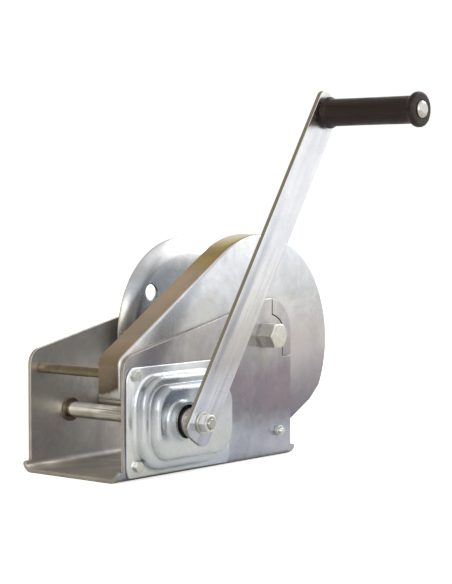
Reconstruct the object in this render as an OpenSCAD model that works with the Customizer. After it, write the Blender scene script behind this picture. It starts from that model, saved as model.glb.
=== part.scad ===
// Boat trailer winch with an automatic brake, as separate sub-parts at real size.
// The folded frame stands on the plane z = 0 and opens to the front, -y. The crank
// is on the +x side, the drum lies at the rear. The origin is the middle of the base.

/* [Frame] */
// length of the side plates, front edge to rear edge
frame_l = 257; // [250:1:310]
// clear width between the side plates
frame_w = 122; // [115:1:150]
// sheet thickness of the folded frame
plate_t = 4; // [3:0.5:6]
// height of the side plates at their front edge
front_h = 119; // [115:1:125]
// rise of the top edge of the side plates, in degrees
top_slope = 12.35; // [8:0.05:16]
// how far the base reaches past the side plates, front and rear
lip = 8; // [4:0.5:15]

/* [Drum] */
// radius of the far drum flange
flange_r = 99.7; // [85:0.1:101]
// radius of the drum core that the strap winds on
core_r = 30; // [20:0.5:45]
// diameter of the drum axle
drum_axle_d = 16; // [12:1:20]
// height of the drum axle above the base
drum_z = 129; // [126:0.5:132]

/* [Gears] */
// teeth of the drum gear
drum_teeth = 65; // [61:1:66]
// teeth of the small gear on the intermediate shaft
small_teeth = 19; // [17:1:22]
// teeth of the large gear on the intermediate shaft
large_teeth = 28; // [26:1:30]
// teeth of the pinion on the crank shaft
pinion_teeth = 12; // [11:1:14]
// tooth module of the drum gear pair
module_2 = 3; // [3:0.1:3.1]
// tooth module of the crank pinion pair
module_1 = 2.5; // [2.4:0.1:2.8]

/* [Crank] */
// diameter of the crank shaft
crank_d = 16; // [12:0.5:18]
// distance from the crank shaft to the handle grip
arm_len = 358.5; // [250:0.5:430]
// width of the flat crank arm
arm_w = 36; // [28:0.5:45]
// thickness of the flat crank arm
arm_t = 5; // [4:0.5:8]
// angle of the crank arm above the horizontal at rest
arm_angle = 57.05; // [0:0.05:90]
// diameter of the grip body
grip_d = 28; // [22:0.5:36]
// length of the grip
grip_len = 115; // [80:1:140]

/* [Brake] */
// diameter of the ratchet wheel over its teeth
ratchet_d = 68; // [60:0.5:69]
// height of the brake cover over its flange
cover_h = 21; // [19:0.5:28]

/* [Hidden] */
$fn = 64;
xi = frame_w / 2;
xo = xi + plate_t;
yf = -frame_l / 2;
yr = frame_l / 2;
bend = 7;
cy = yf + 55.5;
cz = 57;
dy = cy + 158;
dz = drum_z;
fit = 0.05;
// the two gear pairs: centre distances and the place of the intermediate shaft
a_1 = (pinion_teeth + large_teeth) * module_1 / 2;
a_2 = (small_teeth + drum_teeth) * module_2 / 2;
cd = norm([dy - cy, dz - cz]);
ca = (a_1 * a_1 - a_2 * a_2 + cd * cd) / (2 * cd);
ch = sqrt(a_1 * a_1 - ca * ca);
uy = (dy - cy) / cd;
uz = (dz - cz) / cd;
iy = cy + ca * uy + ch * uz;
iz = cz + ca * uz - ch * uy;
ang_ci = atan2(iz - cz, iy - cy);
ang_id = atan2(dz - iz, dy - iy);
// stations along x on the crank side
guard_t = 2;
xg = xi - guard_t;
x_rim = xi - 27;
x_near = xi - 32;
x_far = -xi + 20;
gear_w = 9;
x_dg = x_near + 2.5;
x_br = xo + 0.45;
x_rat = xo + 5.3;
x_hub = xo + 11.25;
x_arm = xo + 46;
idler_r = 6;
tie_y = yf + 14;
tie_z = 102;
cover_t = 2;
rear_y = dy + 20.5;
rear_z = 28;
gy = dy - 1.3;
gz = dz - 9.4;
gr = 113.5;
screws = [[yf + 16.2, 14.8], [cy + 90.5, 30], [cy + 90.5, 84]];
g_slope = 32.3;
pin_y = cy + 33;
pin_z = cz + 33.5;
zinc = [0.78, 0.80, 0.83];
dark = [0.16, 0.14, 0.13];
brass = [0.72, 0.60, 0.35];

// a list of points along an arc
function arc(y, z, r, a, b, n) =
    [for (i = [0:n]) [y + r * cos(a + (b - a) * i / n), z + r * sin(a + (b - a) * i / n)]];
// outline of a rounded rectangle
function rrect(y0, y1, z0, z1, r) = concat(
    arc(y1 - r, z1 - r, r, 0, 90, 8), arc(y0 + r, z1 - r, r, 90, 180, 8),
    arc(y0 + r, z0 + r, r, 180, 270, 8), arc(y1 - r, z0 + r, r, 270, 360, 8));
// extrude a y-z outline from x0 to x1
module along(x0, x1) {
    translate([x0, 0, 0]) rotate([90, 0, 90]) linear_extrude(x1 - x0) children();
}
// round bar along x
module bar(x0, x1, y, z, r) {
    translate([x0, y, z]) rotate([0, 90, 0]) cylinder(h = x1 - x0, r = r);
}
module tube(x0, x1, y, z, r, b) {
    difference() {
        bar(x0, x1, y, z, r);
        bar(x0 - 1, x1 + 1, y, z, b);
    }
}
// hexagon along x, flats top and bottom
module hex(x0, x1, y, z, af) {
    translate([x0, y, z]) rotate([90, 0, 90]) cylinder(h = x1 - x0, r = af / sqrt(3), $fn = 6);
}
// gear outline with stub involute teeth, one tooth pointing along angle p
function inv(a) = tan(a) - a * PI / 180;
function half_tooth(m, n, q) = let (r = m * n / 2, b = r * cos(25), s = max(q, b + 0.01))
    90 / n - 0.09 / r * 180 / PI + (inv(25) - inv(acos(b / s))) * 180 / PI;
function gear(m, n, p) = let (r = m * n / 2, q0 = r - 1.05 * m, q1 = r + 0.8 * m,
    b = r * cos(25), s = max(q0, b + 0.01),
    rr = [q0, s + 0.001, (s * 2 + q1) / 3, (s + q1 * 2) / 3, q1])
    [for (i = [0:n - 1]) for (k = [0:9])
        let (q = k < 5 ? rr[k] : rr[9 - k], h = half_tooth(m, n, q),
            a = p + 360 * i / n + (k < 5 ? -h : h))
        [q * cos(a), q * sin(a)]];
module gear_at(x0, x1, y, z, m, n, p, b) {
    difference() {
        translate([0, y, z]) along(x0, x1) polygon(gear(m, n, p));
        bar(x0 - 1, x1 + 1, y, z, b);
    }
}

// outline of a side plate above the folds
top_rr = 36;
ts = top_slope;
rc_y = yr - top_rr;
rc_z = front_h + tan(ts) * (rc_y - yf) - top_rr / cos(ts);
fr = 16;
fc_z = front_h + tan(ts) * fr - fr / cos(ts);
side_pts = concat([[yr, plate_t + bend]], arc(rc_y, rc_z, top_rr, 0, 90 + ts, 10),
    arc(yf + fr, fc_z, fr, 90 + ts, 180, 8), [[yf, plate_t + bend]]);
// the notch in the crank-side plate that the corner plate fills, 1.2 narrower all round
nc_y = dy + 7;
nc_z = dz - 7;
function notch(g) = concat([[yr + 9, dz - 24.2 + g], [dy + 29.4 + g, dz - 24.2 + g]],
    arc(nc_y, nc_z, 27.4 + g, acos((22.4 + g) / (27.4 + g)), acos((5 + g) / (27.4 + g)), 8),
    [[dy + 12 + g, dz + 90], [yr + 9, dz + 90]]);

module frame() color(zinc) difference() {
    union() {
        // folded base with both bends, rounded at its four corners
        intersection() {
            translate([0, yr + lip, 0]) rotate([90, 0, 0]) linear_extrude(frame_l + 2 * lip)
                polygon(concat([[xo, plate_t + bend]], [[xi, plate_t + bend]],
                    arc(xi - bend, plate_t + bend, bend, 0, -90, 8),
                    arc(-xi + bend, plate_t + bend, bend, 270, 180, 8),
                    [[-xo, plate_t + bend]],
                    arc(-xi + bend, plate_t + bend, bend + plate_t, 180, 270, 8),
                    arc(xi - bend, plate_t + bend, bend + plate_t, -90, 0, 8)));
            along(-xo - 1, xo + 1) polygon(concat([[yr + lip, -1]],
                arc(yr + lip - 4, plate_t + bend - 4, 4, 0, 90, 4),
                arc(yf - lip + 4, plate_t + bend - 4, 4, 90, 180, 4), [[yf - lip, -1]]));
        }
        along(-xo, -xi) polygon(side_pts);
        difference() {
            along(xi, xo) polygon(side_pts);
            along(xi - 1, xo + 1) polygon(notch(0));
        }
    }
    // crank shaft bushes, drum axle, intermediate axle, tie rod
    bar(-xo - 1, xo + 1, cy, cz, 10.05);
    bar(-xo - 1, xo + 1, dy, dz, drum_axle_d / 2 + 0.15);
    bar(-xo - 1, xo + 1, iy, iz, idler_r + 0.15);
    bar(-xo - 1, xo + 1, tie_y, tie_z, 3.2);
    // brake cover screws, pawl pin, rear bolt
    for (p = screws) bar(xi - 1, xo + 1, p[0], p[1], 3.15);
    bar(xi - 1, xo + 1, pin_y, pin_z, 4.05);
    bar(xi - 1, xo + 1, rear_y, rear_z, 3.2);
    // three bolt holes in the base
    for (p = [[0, yf + 73.5], [-38, yr - 33.5], [38, yr - 33.5]])
        translate([p[0], p[1], -1]) cylinder(h = plate_t + 2, r = 5.5);
}

module corner_plate() color(zinc) intersection() {
    along(xi, xo) polygon(side_pts);
    along(xi - 1, xo + 1) polygon(notch(1.2));
}

// pressed guard over the gears: outline inset by g, face on the crank side, rim inboard
gf_y = yf - 2.5;
gt_a = g_slope + 90;
gt_y = gy + gr * cos(gt_a);
gt_z = gz + gr * sin(gt_a);
g_r = 13;
function g_line(y, g) = gt_z + (y - gt_y) * tan(g_slope) - g / cos(g_slope);
// corner circle tangent to the front edge and to the straight top edge
gc_y = gf_y + g_r;
gc_z = g_line(gc_y, 0) - g_r / cos(g_slope);
function g_low(y, g) = dz - 92.7 + g / cos(28.2) + (y - dy - 50.3) * tan(28.2);
function guard_pts(g) = concat(
    [[dy + 50.3 + (14 + g - g_low(dy + 50.3, g)) / tan(28.2), 14 + g]],
    [[dy + 85 - g, g_low(dy + 85 - g, g)]],
    arc(gy, gz, gr - g, -26.5, gt_a, 44),
    arc(gc_y, gc_z, g_r - g, gt_a, 180, 8),
    arc(gf_y + 8, 85, 8 - g, 180, 270, 6),
    [[yf + 8 + g, 77 + g]], [[yf + 8 + g, 14 + g]]);
module gear_guard() color(zinc) difference() {
    union() {
        along(xg, xi) polygon(guard_pts(0));
        difference() {
            along(x_rim, xg + 0.5) polygon(guard_pts(0));
            along(x_rim - 1, xg + 1) polygon(guard_pts(guard_t));
            // the rim stops short at the bottom, and turns under at the front
            translate([x_rim - 1, yf - 9, -1]) cube([xi - x_rim - 1, frame_l + 30, 23]);
            translate([x_rim - 1, yf - 9, -1]) cube([xi - x_rim - 1, 60, 77.99]);
        }
    }
    bar(xg - 1, xi + 1, cy, cz, 10.3);
    bar(xg - 1, xi + 1, dy, dz, drum_axle_d / 2 + 0.15);
    bar(xg - 1, xi + 1, iy, iz, idler_r + 0.15);
    bar(xg - 1, xi + 1, tie_y, tie_z, 3.2);
    bar(xg - 1, xi + 1, pin_y, pin_z, 8.5);
    bar(xg - 1, xi + 1, rear_y, rear_z, 3.2);
    for (p = screws) bar(xg - 1, xi + 1, p[0], p[1], 3.6);
    // small slot above the plate edge beside the corner plate
    along(xg - 1, xi + 1) polygon([[dy + 4.3, dz + 36.8], [dy + 11.2, dz + 36.8],
        [dy + 11.2, dz + 41.2], [dy + 6, dz + 41.2]]);
}

// spacer bar across the upper front, tapped at both ends
module tie_rod() color(zinc) difference() {
    bar(-xi, xg, tie_y, tie_z, 5);
    bar(-xi - 1, -xi + 16, tie_y, tie_z, 3.05);
    bar(xg - 14, xg + 1, tie_y, tie_z, 3.05);
}
module tie_rod_bolt() color(zinc) {
    bar(-xo - 0.01, -xi + 14, tie_y, tie_z, 3);
    hex(-xo - 4, -xo, tie_y, tie_z, 10);
}

// drum axle: long bolt with its deep head on the crank side over a thin nut
module drum_axle() color(zinc) {
    bar(-xo - 15, xo + 7.01, dy, dz, drum_axle_d / 2);
    hex(xo + 7, xo + 19.5, dy, dz, 24);
}
module axle_lock_nut() color(zinc) difference() {
    hex(xo, xo + 7, dy, dz, 24);
    bar(xo - 1, xo + 8, dy, dz, drum_axle_d / 2 + fit);
}
module axle_nut() color(zinc) difference() {
    hex(-xo - 13, -xo, dy, dz, 24);
    bar(-xo - 14, -xo + 1, dy, dz, drum_axle_d / 2 + fit);
}
module axle_spacers() color(zinc) {
    tube(-xi, x_far - 4.4, dy, dz, 12, drum_axle_d / 2 + fit);
    tube(x_dg + gear_w + 3.4, xg, dy, dz, 12, drum_axle_d / 2 + fit);
}

// drum: welded core and flanges; the far rim is dished outwards, the gear closes the near side
module drum_core() color(zinc) tube(x_far + 2.5, x_near, dy, dz, core_r, core_r - 3.5);
module far_flange() color(zinc) difference() {
    translate([0, dy, dz]) rotate([0, 90, 0]) rotate_extrude($fn = 96)
        polygon([[12.05, x_far], [flange_r - 21, x_far], [flange_r - 15, x_far - 1.4],
            [flange_r - 7, x_far - 5.4], [flange_r - 1.4, x_far - 10], [flange_r, x_far - 9],
            [flange_r - 6, x_far - 3.6], [flange_r - 14, x_far + 0.9],
            [flange_r - 20, x_far + 2.5], [12.05, x_far + 2.5]]);
    bar(x_far - 5, x_far + 5, dy - 60.5, dz + 43.6, 8);
}
module near_flange() color(zinc) tube(x_near, x_near + 2.5, dy, dz, flange_r - 3, 12.05);
module drum_gear() color(zinc) difference() {
    gear_at(x_dg, x_dg + gear_w, dy, dz, module_2, drum_teeth, ang_id + 180 + 180 / drum_teeth, 12.05);
    // lightening holes in the gear web, backed by the flange
    for (i = [0:5]) translate([x_dg + 3, dy, dz]) rotate([60 * i, 0, 0])
        bar(0, gear_w, 0, 55, 15);
}
module drum_bushes() color(brass) {
    tube(x_far - 4, x_far + 16, dy, dz, 12.05, drum_axle_d / 2 + fit);
    tube(x_near - 14, x_dg + gear_w + 3, dy, dz, 12.05, drum_axle_d / 2 + fit);
}

// intermediate shaft with the two-step gear cluster
module idler_axle() color(zinc) {
    bar(-xo - 0.01, xo + 5, iy, iz, idler_r);
    hex(-xo - 7, -xo, iy, iz, 18);
}
module idler_nut() color(zinc) difference() {
    hex(xo, xo + 4.6, iy, iz, 18);
    bar(xo - 1, xo + 8, iy, iz, idler_r + fit);
}
module idler_spacer() color(zinc) tube(-xi, x_near + 0.5, iy, iz, 10, idler_r + fit);
module idler_bush() color(brass) tube(x_near + 0.8, xg - 0.3, iy, iz, 8.5, idler_r + fit);
module idler_pinion() color(zinc) union() {
    gear_at(x_dg + 0.5, x_dg + gear_w + 3, iy, iz, module_2, small_teeth, ang_id, 8.5);
    tube(x_dg + gear_w + 3, xg - 3, iy, iz, 14, 8.5);
}
module idler_gear() color(zinc)
    gear_at(x_dg + gear_w + 4, xg - 5, iy, iz, module_1, large_teeth,
        ang_ci + 180 + 180 / large_teeth, 14);

// crank shaft: brake flange outside the plate, shoulder and threaded end for the arm
module crank_shaft() color(zinc) union() {
    bar(-xo - 4, x_hub + 2, cy, cz, crank_d / 2);
    bar(x_br, x_br + 3, cy, cz, 26);
    bar(x_hub + 1, x_arm - 0.3, cy, cz, 7);
    bar(x_arm - 1, x_arm + arm_t + 12.5, cy, cz, 5);
}
module crank_pinion() color(zinc)
    gear_at(x_rim + 2, xg - 4, cy, cz, module_1, pinion_teeth, ang_ci, crank_d / 2);
module shaft_circlip() color(dark) tube(-xo - 3.2, -xo - 2, cy, cz, 11, crank_d / 2);
module far_bush() color(brass) difference() {
    union() {
        bar(-xo, -xi + 0.5, cy, cz, 10.05);
        bar(-xi, -xi + 2, cy, cz, 12);
    }
    bar(-xo - 1, -xi + 3, cy, cz, crank_d / 2 + fit);
}
module near_bush() color(brass) difference() {
    union() {
        bar(xg - 0.5, xo, cy, cz, 10.05);
        bar(xg - 2, xg, cy, cz, 12);
    }
    bar(xg - 3, xo + 1, cy, cz, crank_d / 2 + fit);
}

// brake: ratchet wheel between two friction discs, squeezed by the threaded hub of the arm
module friction_discs() color(brass) {
    tube(x_rat - 1.75, x_rat, cy, cz, 24.5, crank_d / 2 + 0.5);
    tube(x_rat + 4, x_rat + 5.75, cy, cz, 24.5, crank_d / 2 + 0.5);
}
rt = ratchet_d / 2;
module ratchet_wheel() color(zinc) difference() {
    translate([0, cy, cz]) along(x_rat, x_rat + 4)
        polygon([for (i = [0:11]) for (k = [0:1])
            let (a = 4 + 30 * i + k, q = k == 0 ? rt : rt - 5.5) [q * cos(a), q * sin(a)]]);
    bar(x_rat - 1, x_rat + 5, cy, cz, crank_d / 2 + fit);
}
module pressure_hub() color(zinc) difference() {
    union() {
        bar(x_hub, x_hub + 4, cy, cz, 26);
        bar(x_hub + 3.5, x_arm, cy, cz, 14);
    }
    bar(x_hub - 1, x_hub + 2, cy, cz, crank_d / 2 + fit);
    bar(x_hub + 1, x_arm + 1, cy, cz, 7 + fit);
}
module pawl() color(zinc) difference() {
    union() {
        bar(x_rat + 0.2, x_rat + 3.8, pin_y, pin_z, 7.5);
        along(x_rat + 0.2, x_rat + 3.8)
            polygon([[cy + rt - 4.8, cz + 3.1], [cy + rt + 0.5, cz + 3.4], [cy + rt + 5.5, cz + 16],
                [cy + rt + 6, pin_z - 1], [cy + rt - 4.4, pin_z - 1], [cy + rt - 4.8, cz + 20]]);
    }
    bar(x_rat - 1, x_rat + 5, pin_y, pin_z, 4 + fit);
}
module pawl_pin() color(zinc) union() {
    bar(xi - 1.6, x_rat + 5.2, pin_y, pin_z, 4);
    bar(xi - 2, xi, pin_y, pin_z, 7);
}
module pawl_circlip() color(dark) tube(x_rat + 4.1, x_rat + 4.9, pin_y, pin_z, 6.5, 4);
// torsion spring on the pawl pin: three coils and two straight legs
module pawl_spring() color(dark) union() {
    for (i = [0:2]) translate([xo + 1.2 + i * 1.1, pin_y, pin_z]) rotate([0, 90, 0])
        rotate_extrude($fn = 48) translate([5.6, 0]) circle(r = 0.7, $fn = 24);
    translate([xo + 3.4, pin_y + 5.6, pin_z - 16]) cylinder(h = 16, r = 0.65, $fn = 24);
    translate([xo + 1.2, pin_y - 5.6, pin_z]) rotate([-60, 0, 0])
        translate([0, 0, -12]) cylinder(h = 12, r = 0.65, $fn = 24);
}

// pressed brake cover: flange, a lower and an upper step, and the collar round the hub
cv0 = yf + 2.3;
cv1 = cy + 99;
module cover_shell(x0, x1, y0, y1, z0, z1, r) {
    difference() {
        along(x0, x1) polygon(rrect(y0, y1, z0, z1, r));
        along(x0 - 1, x1 - cover_t) polygon(rrect(y0 + cover_t, y1 - cover_t,
            z0 + cover_t, z1 - cover_t, r - cover_t));
    }
}
c_y0 = yf + 14;
c_y1 = cy + 82;
module brake_cover() color(zinc) difference() {
    union() {
        difference() {
            along(xo, xo + cover_t) polygon(rrect(cv0, cv1, 4, 109.5, 16));
            along(xo - 1, xo + cover_t + 1) polygon(rrect(c_y0 + 1, c_y1 - 1, 11, 99, 28));
        }
        difference() {
            cover_shell(xo + 0.5, xo + 13, c_y0, c_y1, 10, 100, 29);
            along(xo + 9, xo + 14) polygon(rrect(c_y0 + 11, c_y1 - 2, 21, 89, 20));
        }
        difference() {
            cover_shell(xo + 11.5, xo + 2 + cover_h, c_y0 + 9.5, c_y1, 19.5, 90.5, 22);
            bar(xo, xo + 40, cy, cz, 17);
        }
        tube(xo + cover_h, xo + 33.8, cy, cz, 18.5, 16.5);
    }
    for (p = concat([[tie_y, tie_z]], screws)) bar(xo - 1, xo + 4, p[0], p[1], 3.2);
}
module cover_screws() color(zinc)
    for (p = concat([[tie_y, tie_z]], screws)) {
        hex(xo + cover_t, xo + cover_t + 4, p[0], p[1], 10);
        bar(xg - (p[1] == tie_z ? 9 : 0.5), xo + cover_t + 0.01, p[0], p[1], 3);
    }

// rear bolt that clamps the guard to the plate
module rear_bolt() color(zinc) {
    bar(xg - 0.01, xo + 8.5, rear_y, rear_z, 3);
    bar(xg - 3, xg, rear_y, rear_z, 4.5);
}
module rear_nut() color(zinc) difference() {
    hex(xo, xo + 5, rear_y, rear_z, 10);
    bar(xo - 1, xo + 9, rear_y, rear_z, 3 + fit);
}

// crank arm, its nut, and the turning grip
ay = cy + arm_len * cos(arm_angle);
az = cz + arm_len * sin(arm_angle);
ga = x_arm + arm_t;
gs = ga + 1.8;
module crank_arm() color(zinc) difference() {
    translate([0, cy, cz]) rotate([arm_angle, 0, 0]) along(x_arm, ga)
        polygon(rrect(-20, arm_len + 20, -arm_w / 2, arm_w / 2, 10));
    bar(x_arm - 1, ga + 1, cy, cz, 5 + fit);
    bar(x_arm - 1, ga + 1, ay, az, 5 + fit);
}
module arm_washer() color(zinc) tube(ga, ga + 1.5, cy, cz, 10.5, 5 + fit);
module arm_nut() color(zinc) difference() {
    hex(ga + 1.5, ga + 10.5, cy, cz, 16);
    bar(ga, ga + 11, cy, cz, 5 + fit);
}
module grip_bolt() color(zinc) {
    bar(x_arm - 9, gs + grip_len + 1, ay, az, 5);
    translate([gs + grip_len + 0.3, ay, az]) rotate([0, 90, 0])
        cylinder(h = 3.2, r1 = 8.7, r2 = 6.2);
}
module grip_washer() color(zinc) tube(ga, gs - 0.3, ay, az, 11, 5 + fit);
module grip_nut() color(zinc) difference() {
    hex(x_arm - 8, x_arm, ay, az, 16);
    bar(x_arm - 10, x_arm + 1, ay, az, 5 + fit);
}

module grip_sleeve() color(dark) difference() {
    translate([gs, ay, az]) rotate([0, 90, 0]) rotate_extrude()
        polygon(concat([[5.08, 0], [15, 0], [16.2, 1.4], [16.2, 4.5], [grip_d / 2, 7]],
            [[grip_d / 2, grip_len - 9.5], [17.6, grip_len - 6.5], [17.6, grip_len - 1.6],
            [16.2, grip_len], [5.08, grip_len]]));
}

frame();
corner_plate();
gear_guard();
tie_rod();
tie_rod_bolt();
drum_axle();
axle_nut();
axle_lock_nut();
axle_spacers();
drum_core();
far_flange();
near_flange();
drum_gear();
drum_bushes();
idler_axle();
idler_nut();
idler_spacer();
idler_bush();
idler_pinion();
idler_gear();
crank_shaft();
crank_pinion();
shaft_circlip();
far_bush();
near_bush();
friction_discs();
ratchet_wheel();
pressure_hub();
pawl();
pawl_pin();
pawl_spring();
pawl_circlip();
brake_cover();
cover_screws();
rear_bolt();
rear_nut();
crank_arm();
arm_washer();
arm_nut();
grip_sleeve();
grip_bolt();
grip_washer();
grip_nut();
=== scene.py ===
import math

import bmesh
import bpy
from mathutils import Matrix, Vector


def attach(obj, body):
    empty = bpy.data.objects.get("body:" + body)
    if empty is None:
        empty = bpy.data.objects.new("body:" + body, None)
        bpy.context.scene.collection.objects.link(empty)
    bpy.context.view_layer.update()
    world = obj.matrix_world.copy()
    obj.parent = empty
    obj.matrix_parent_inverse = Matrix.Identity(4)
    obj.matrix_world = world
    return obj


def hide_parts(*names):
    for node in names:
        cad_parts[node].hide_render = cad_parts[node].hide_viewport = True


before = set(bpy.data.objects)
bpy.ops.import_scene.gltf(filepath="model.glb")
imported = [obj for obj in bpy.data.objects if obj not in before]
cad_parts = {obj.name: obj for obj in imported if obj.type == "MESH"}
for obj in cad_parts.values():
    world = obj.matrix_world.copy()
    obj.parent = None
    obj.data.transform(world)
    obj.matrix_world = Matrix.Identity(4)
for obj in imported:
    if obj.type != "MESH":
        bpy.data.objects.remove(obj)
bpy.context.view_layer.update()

# ---------------------------------------------------------------- room
# The winch stands on a pale sheet. The camera sees room and sheet plain white, while
# the plated steel mirrors a bright wall and window and a dim, warm other side.
scene = bpy.context.scene
scene.view_settings.view_transform = "Standard"
scene.view_settings.look = "None"
scene.view_settings.exposure = 0.0

world = bpy.data.worlds.new("white_room")
scene.world = world
world.use_nodes = True
wt = world.node_tree
wt.nodes.clear()
room_out = wt.nodes.new("ShaderNodeOutputWorld")
room_seen = wt.nodes.new("ShaderNodeBackground")
room_seen.inputs["Color"].default_value = (1.0, 1.0, 1.0, 1.0)
room_seen.inputs["Strength"].default_value = 1.02
room_lit = wt.nodes.new("ShaderNodeBackground")
room_lit.inputs["Strength"].default_value = 1.05
room_pick = wt.nodes.new("ShaderNodeMixShader")
room_path = wt.nodes.new("ShaderNodeLightPath")
room_dir = wt.nodes.new("ShaderNodeTexCoord")
room_split = wt.nodes.new("ShaderNodeSeparateXYZ")
room_height = wt.nodes.new("ShaderNodeMapRange")
room_height.inputs["From Min"].default_value = -1.0
room_height.inputs["From Max"].default_value = 1.0
room_ramp = wt.nodes.new("ShaderNodeValToRGB")
for place, shade in (
        (0.10, (0.80, 0.80, 0.82)), (0.47, (0.80, 0.80, 0.84)), (0.50, (1.0, 1.0, 1.0)),
        (0.80, (1.0, 1.0, 1.0)), (0.92, (0.80, 0.80, 0.80))):
    stop = room_ramp.color_ramp.elements.new(place)
    stop.color = (*shade, 1.0)
room_ramp.color_ramp.elements.remove(room_ramp.color_ramp.elements[0])
room_ramp.color_ramp.elements[-1].color = (0.7, 0.7, 0.7, 1.0)
room_dim = wt.nodes.new("ShaderNodeMapRange")
room_dim.interpolation_type = "SMOOTHSTEP"
room_dim.inputs["From Min"].default_value = 0.62
room_dim.inputs["From Max"].default_value = 0.30
room_side = wt.nodes.new("ShaderNodeMapRange")
room_side.interpolation_type = "SMOOTHSTEP"
room_side.inputs["From Min"].default_value = 0.35
room_side.inputs["From Max"].default_value = -0.25
room_both = wt.nodes.new("ShaderNodeMath")
room_both.operation = "MULTIPLY"
room_mix = wt.nodes.new("ShaderNodeMix")
room_mix.data_type = "RGBA"
room_mix.inputs["B"].default_value = (0.44, 0.41, 0.36, 1.0)
room_norm = wt.nodes.new("ShaderNodeVectorMath")
room_norm.operation = "NORMALIZE"
wt.links.new(room_dir.outputs["Generated"], room_norm.inputs[0])
wt.links.new(room_norm.outputs["Vector"], room_split.inputs[0])
wt.links.new(room_split.outputs["Z"], room_height.inputs["Value"])
wt.links.new(room_height.outputs["Result"], room_ramp.inputs["Fac"])
wt.links.new(room_split.outputs["Y"], room_dim.inputs["Value"])
wt.links.new(room_split.outputs["X"], room_side.inputs["Value"])
wt.links.new(room_dim.outputs["Result"], room_both.inputs[0])
wt.links.new(room_side.outputs["Result"], room_both.inputs[1])
wt.links.new(room_both.outputs["Value"], room_mix.inputs["Factor"])
wt.links.new(room_ramp.outputs["Color"], room_mix.inputs["A"])
wt.links.new(room_mix.outputs["Result"], room_lit.inputs["Color"])
wt.links.new(room_path.outputs["Is Camera Ray"], room_pick.inputs["Fac"])
wt.links.new(room_lit.outputs["Background"], room_pick.inputs[1])
wt.links.new(room_seen.outputs["Background"], room_pick.inputs[2])
wt.links.new(room_pick.outputs["Shader"], room_out.inputs["Surface"])


def lamp(name, place, aim, width, height, power, tint=(1.0, 1.0, 1.0)):
    """A soft rectangular studio lamp that points at a spot on the winch."""
    data = bpy.data.lights.new(name, "AREA")
    data.shape = "RECTANGLE"
    data.size, data.size_y = width, height
    data.energy = power
    data.color = tint
    obj = bpy.data.objects.new(name, data)
    obj.location = place
    obj.rotation_euler = (Vector(aim) - Vector(place)).to_track_quat("-Z", "Y").to_euler()
    scene.collection.objects.link(obj)


lamp("window_lamp", (2.0, -1.3, 0.6), (0.0, 0.0, 0.12), 0.9, 1.5, 7.0, (1.0, 0.99, 0.97))
lamp("wall_lamp", (0.6, 2.4, 1.9), (0.0, 0.0, 0.12), 2.2, 1.6, 26.0, (0.96, 0.98, 1.0))

floor_mesh = bpy.data.meshes.new("floor_sheet")
FLOOR_R, FLOOR_POINTS, FLOOR_Z = 4.0, 96, -0.0002
floor_rim = []
for k in range(FLOOR_POINTS):
    a = k * math.pi / (FLOOR_POINTS // 2)
    floor_rim.append((FLOOR_R * math.cos(a), FLOOR_R * math.sin(a), FLOOR_Z))
floor_mesh.from_pydata(floor_rim, [], [list(range(FLOOR_POINTS))])
floor_sheet = bpy.data.objects.new("floor_sheet", floor_mesh)
scene.collection.objects.link(floor_sheet)
floor_paper = bpy.data.materials.new("pale_floor")
floor_paper.use_nodes = True
ft = floor_paper.node_tree
floor_shader = ft.nodes["Principled BSDF"]
floor_shader.inputs["Base Color"].default_value = (0.93, 0.93, 0.93, 1.0)
floor_shader.inputs["Roughness"].default_value = 0.9
floor_shader.inputs["Specular IOR Level"].default_value = 0.1
floor_shader.inputs["Emission Color"].default_value = (1.0, 1.0, 1.0, 1.0)
floor_shader.inputs["Emission Strength"].default_value = 0.72
floor_mirrored = ft.nodes.new("ShaderNodeBsdfDiffuse")
floor_mirrored.inputs["Color"].default_value = (0.72, 0.70, 0.66, 1.0)
floor_pick = ft.nodes.new("ShaderNodeMixShader")
ft.links.new(ft.nodes.new("ShaderNodeLightPath").outputs["Is Camera Ray"], floor_pick.inputs["Fac"])
ft.links.new(floor_mirrored.outputs["BSDF"], floor_pick.inputs[1])
ft.links.new(floor_shader.outputs["BSDF"], floor_pick.inputs[2])
ft.links.new(floor_pick.outputs["Shader"], ft.nodes["Material Output"].inputs["Surface"])
floor_mesh.materials.append(floor_paper)

camera_data = bpy.data.cameras.new("camera")
camera_data.sensor_width = 36.0
camera_data.lens = 109.9
camera = bpy.data.objects.new("camera", camera_data)
camera.location = (1.2144, -1.3535, 0.2701)
camera.rotation_euler = (math.radians(90.0 - 3.002), 0.0, math.radians(39.878))
scene.collection.objects.link(camera)
scene.camera = camera

# ---------------------------------------------------------------- folded frame
# One 4 mm steel sheet folded into a base and two side plates, punched, then
# bright zinc plated: silvery, with soft clouds and faint blue and violet bloom.


def group_start(name, inputs, outputs):
    """A new shader group with its named sockets; returns the tree and its two ends."""
    tree = bpy.data.node_groups.new(name, "ShaderNodeTree")
    for label, kind, value in inputs:
        socket = tree.interface.new_socket(name=label, in_out="INPUT", socket_type=kind)
        socket.default_value = value
    for label, kind in outputs:
        tree.interface.new_socket(name=label, in_out="OUTPUT", socket_type=kind)
    return tree, tree.nodes.new("NodeGroupInput"), tree.nodes.new("NodeGroupOutput")


def noise(tree, vector, scale, detail=3.0, rough=0.55, twist=0.0):
    """Cloudy noise over the given coordinates; scale may be a number or a socket."""
    node = tree.nodes.new("ShaderNodeTexNoise")
    node.inputs["Detail"].default_value = detail
    node.inputs["Roughness"].default_value = rough
    node.inputs["Distortion"].default_value = twist
    if isinstance(scale, float):
        node.inputs["Scale"].default_value = scale
    else:
        tree.links.new(scale, node.inputs["Scale"])
    tree.links.new(vector, node.inputs["Vector"])
    return node.outputs["Fac"]


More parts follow.
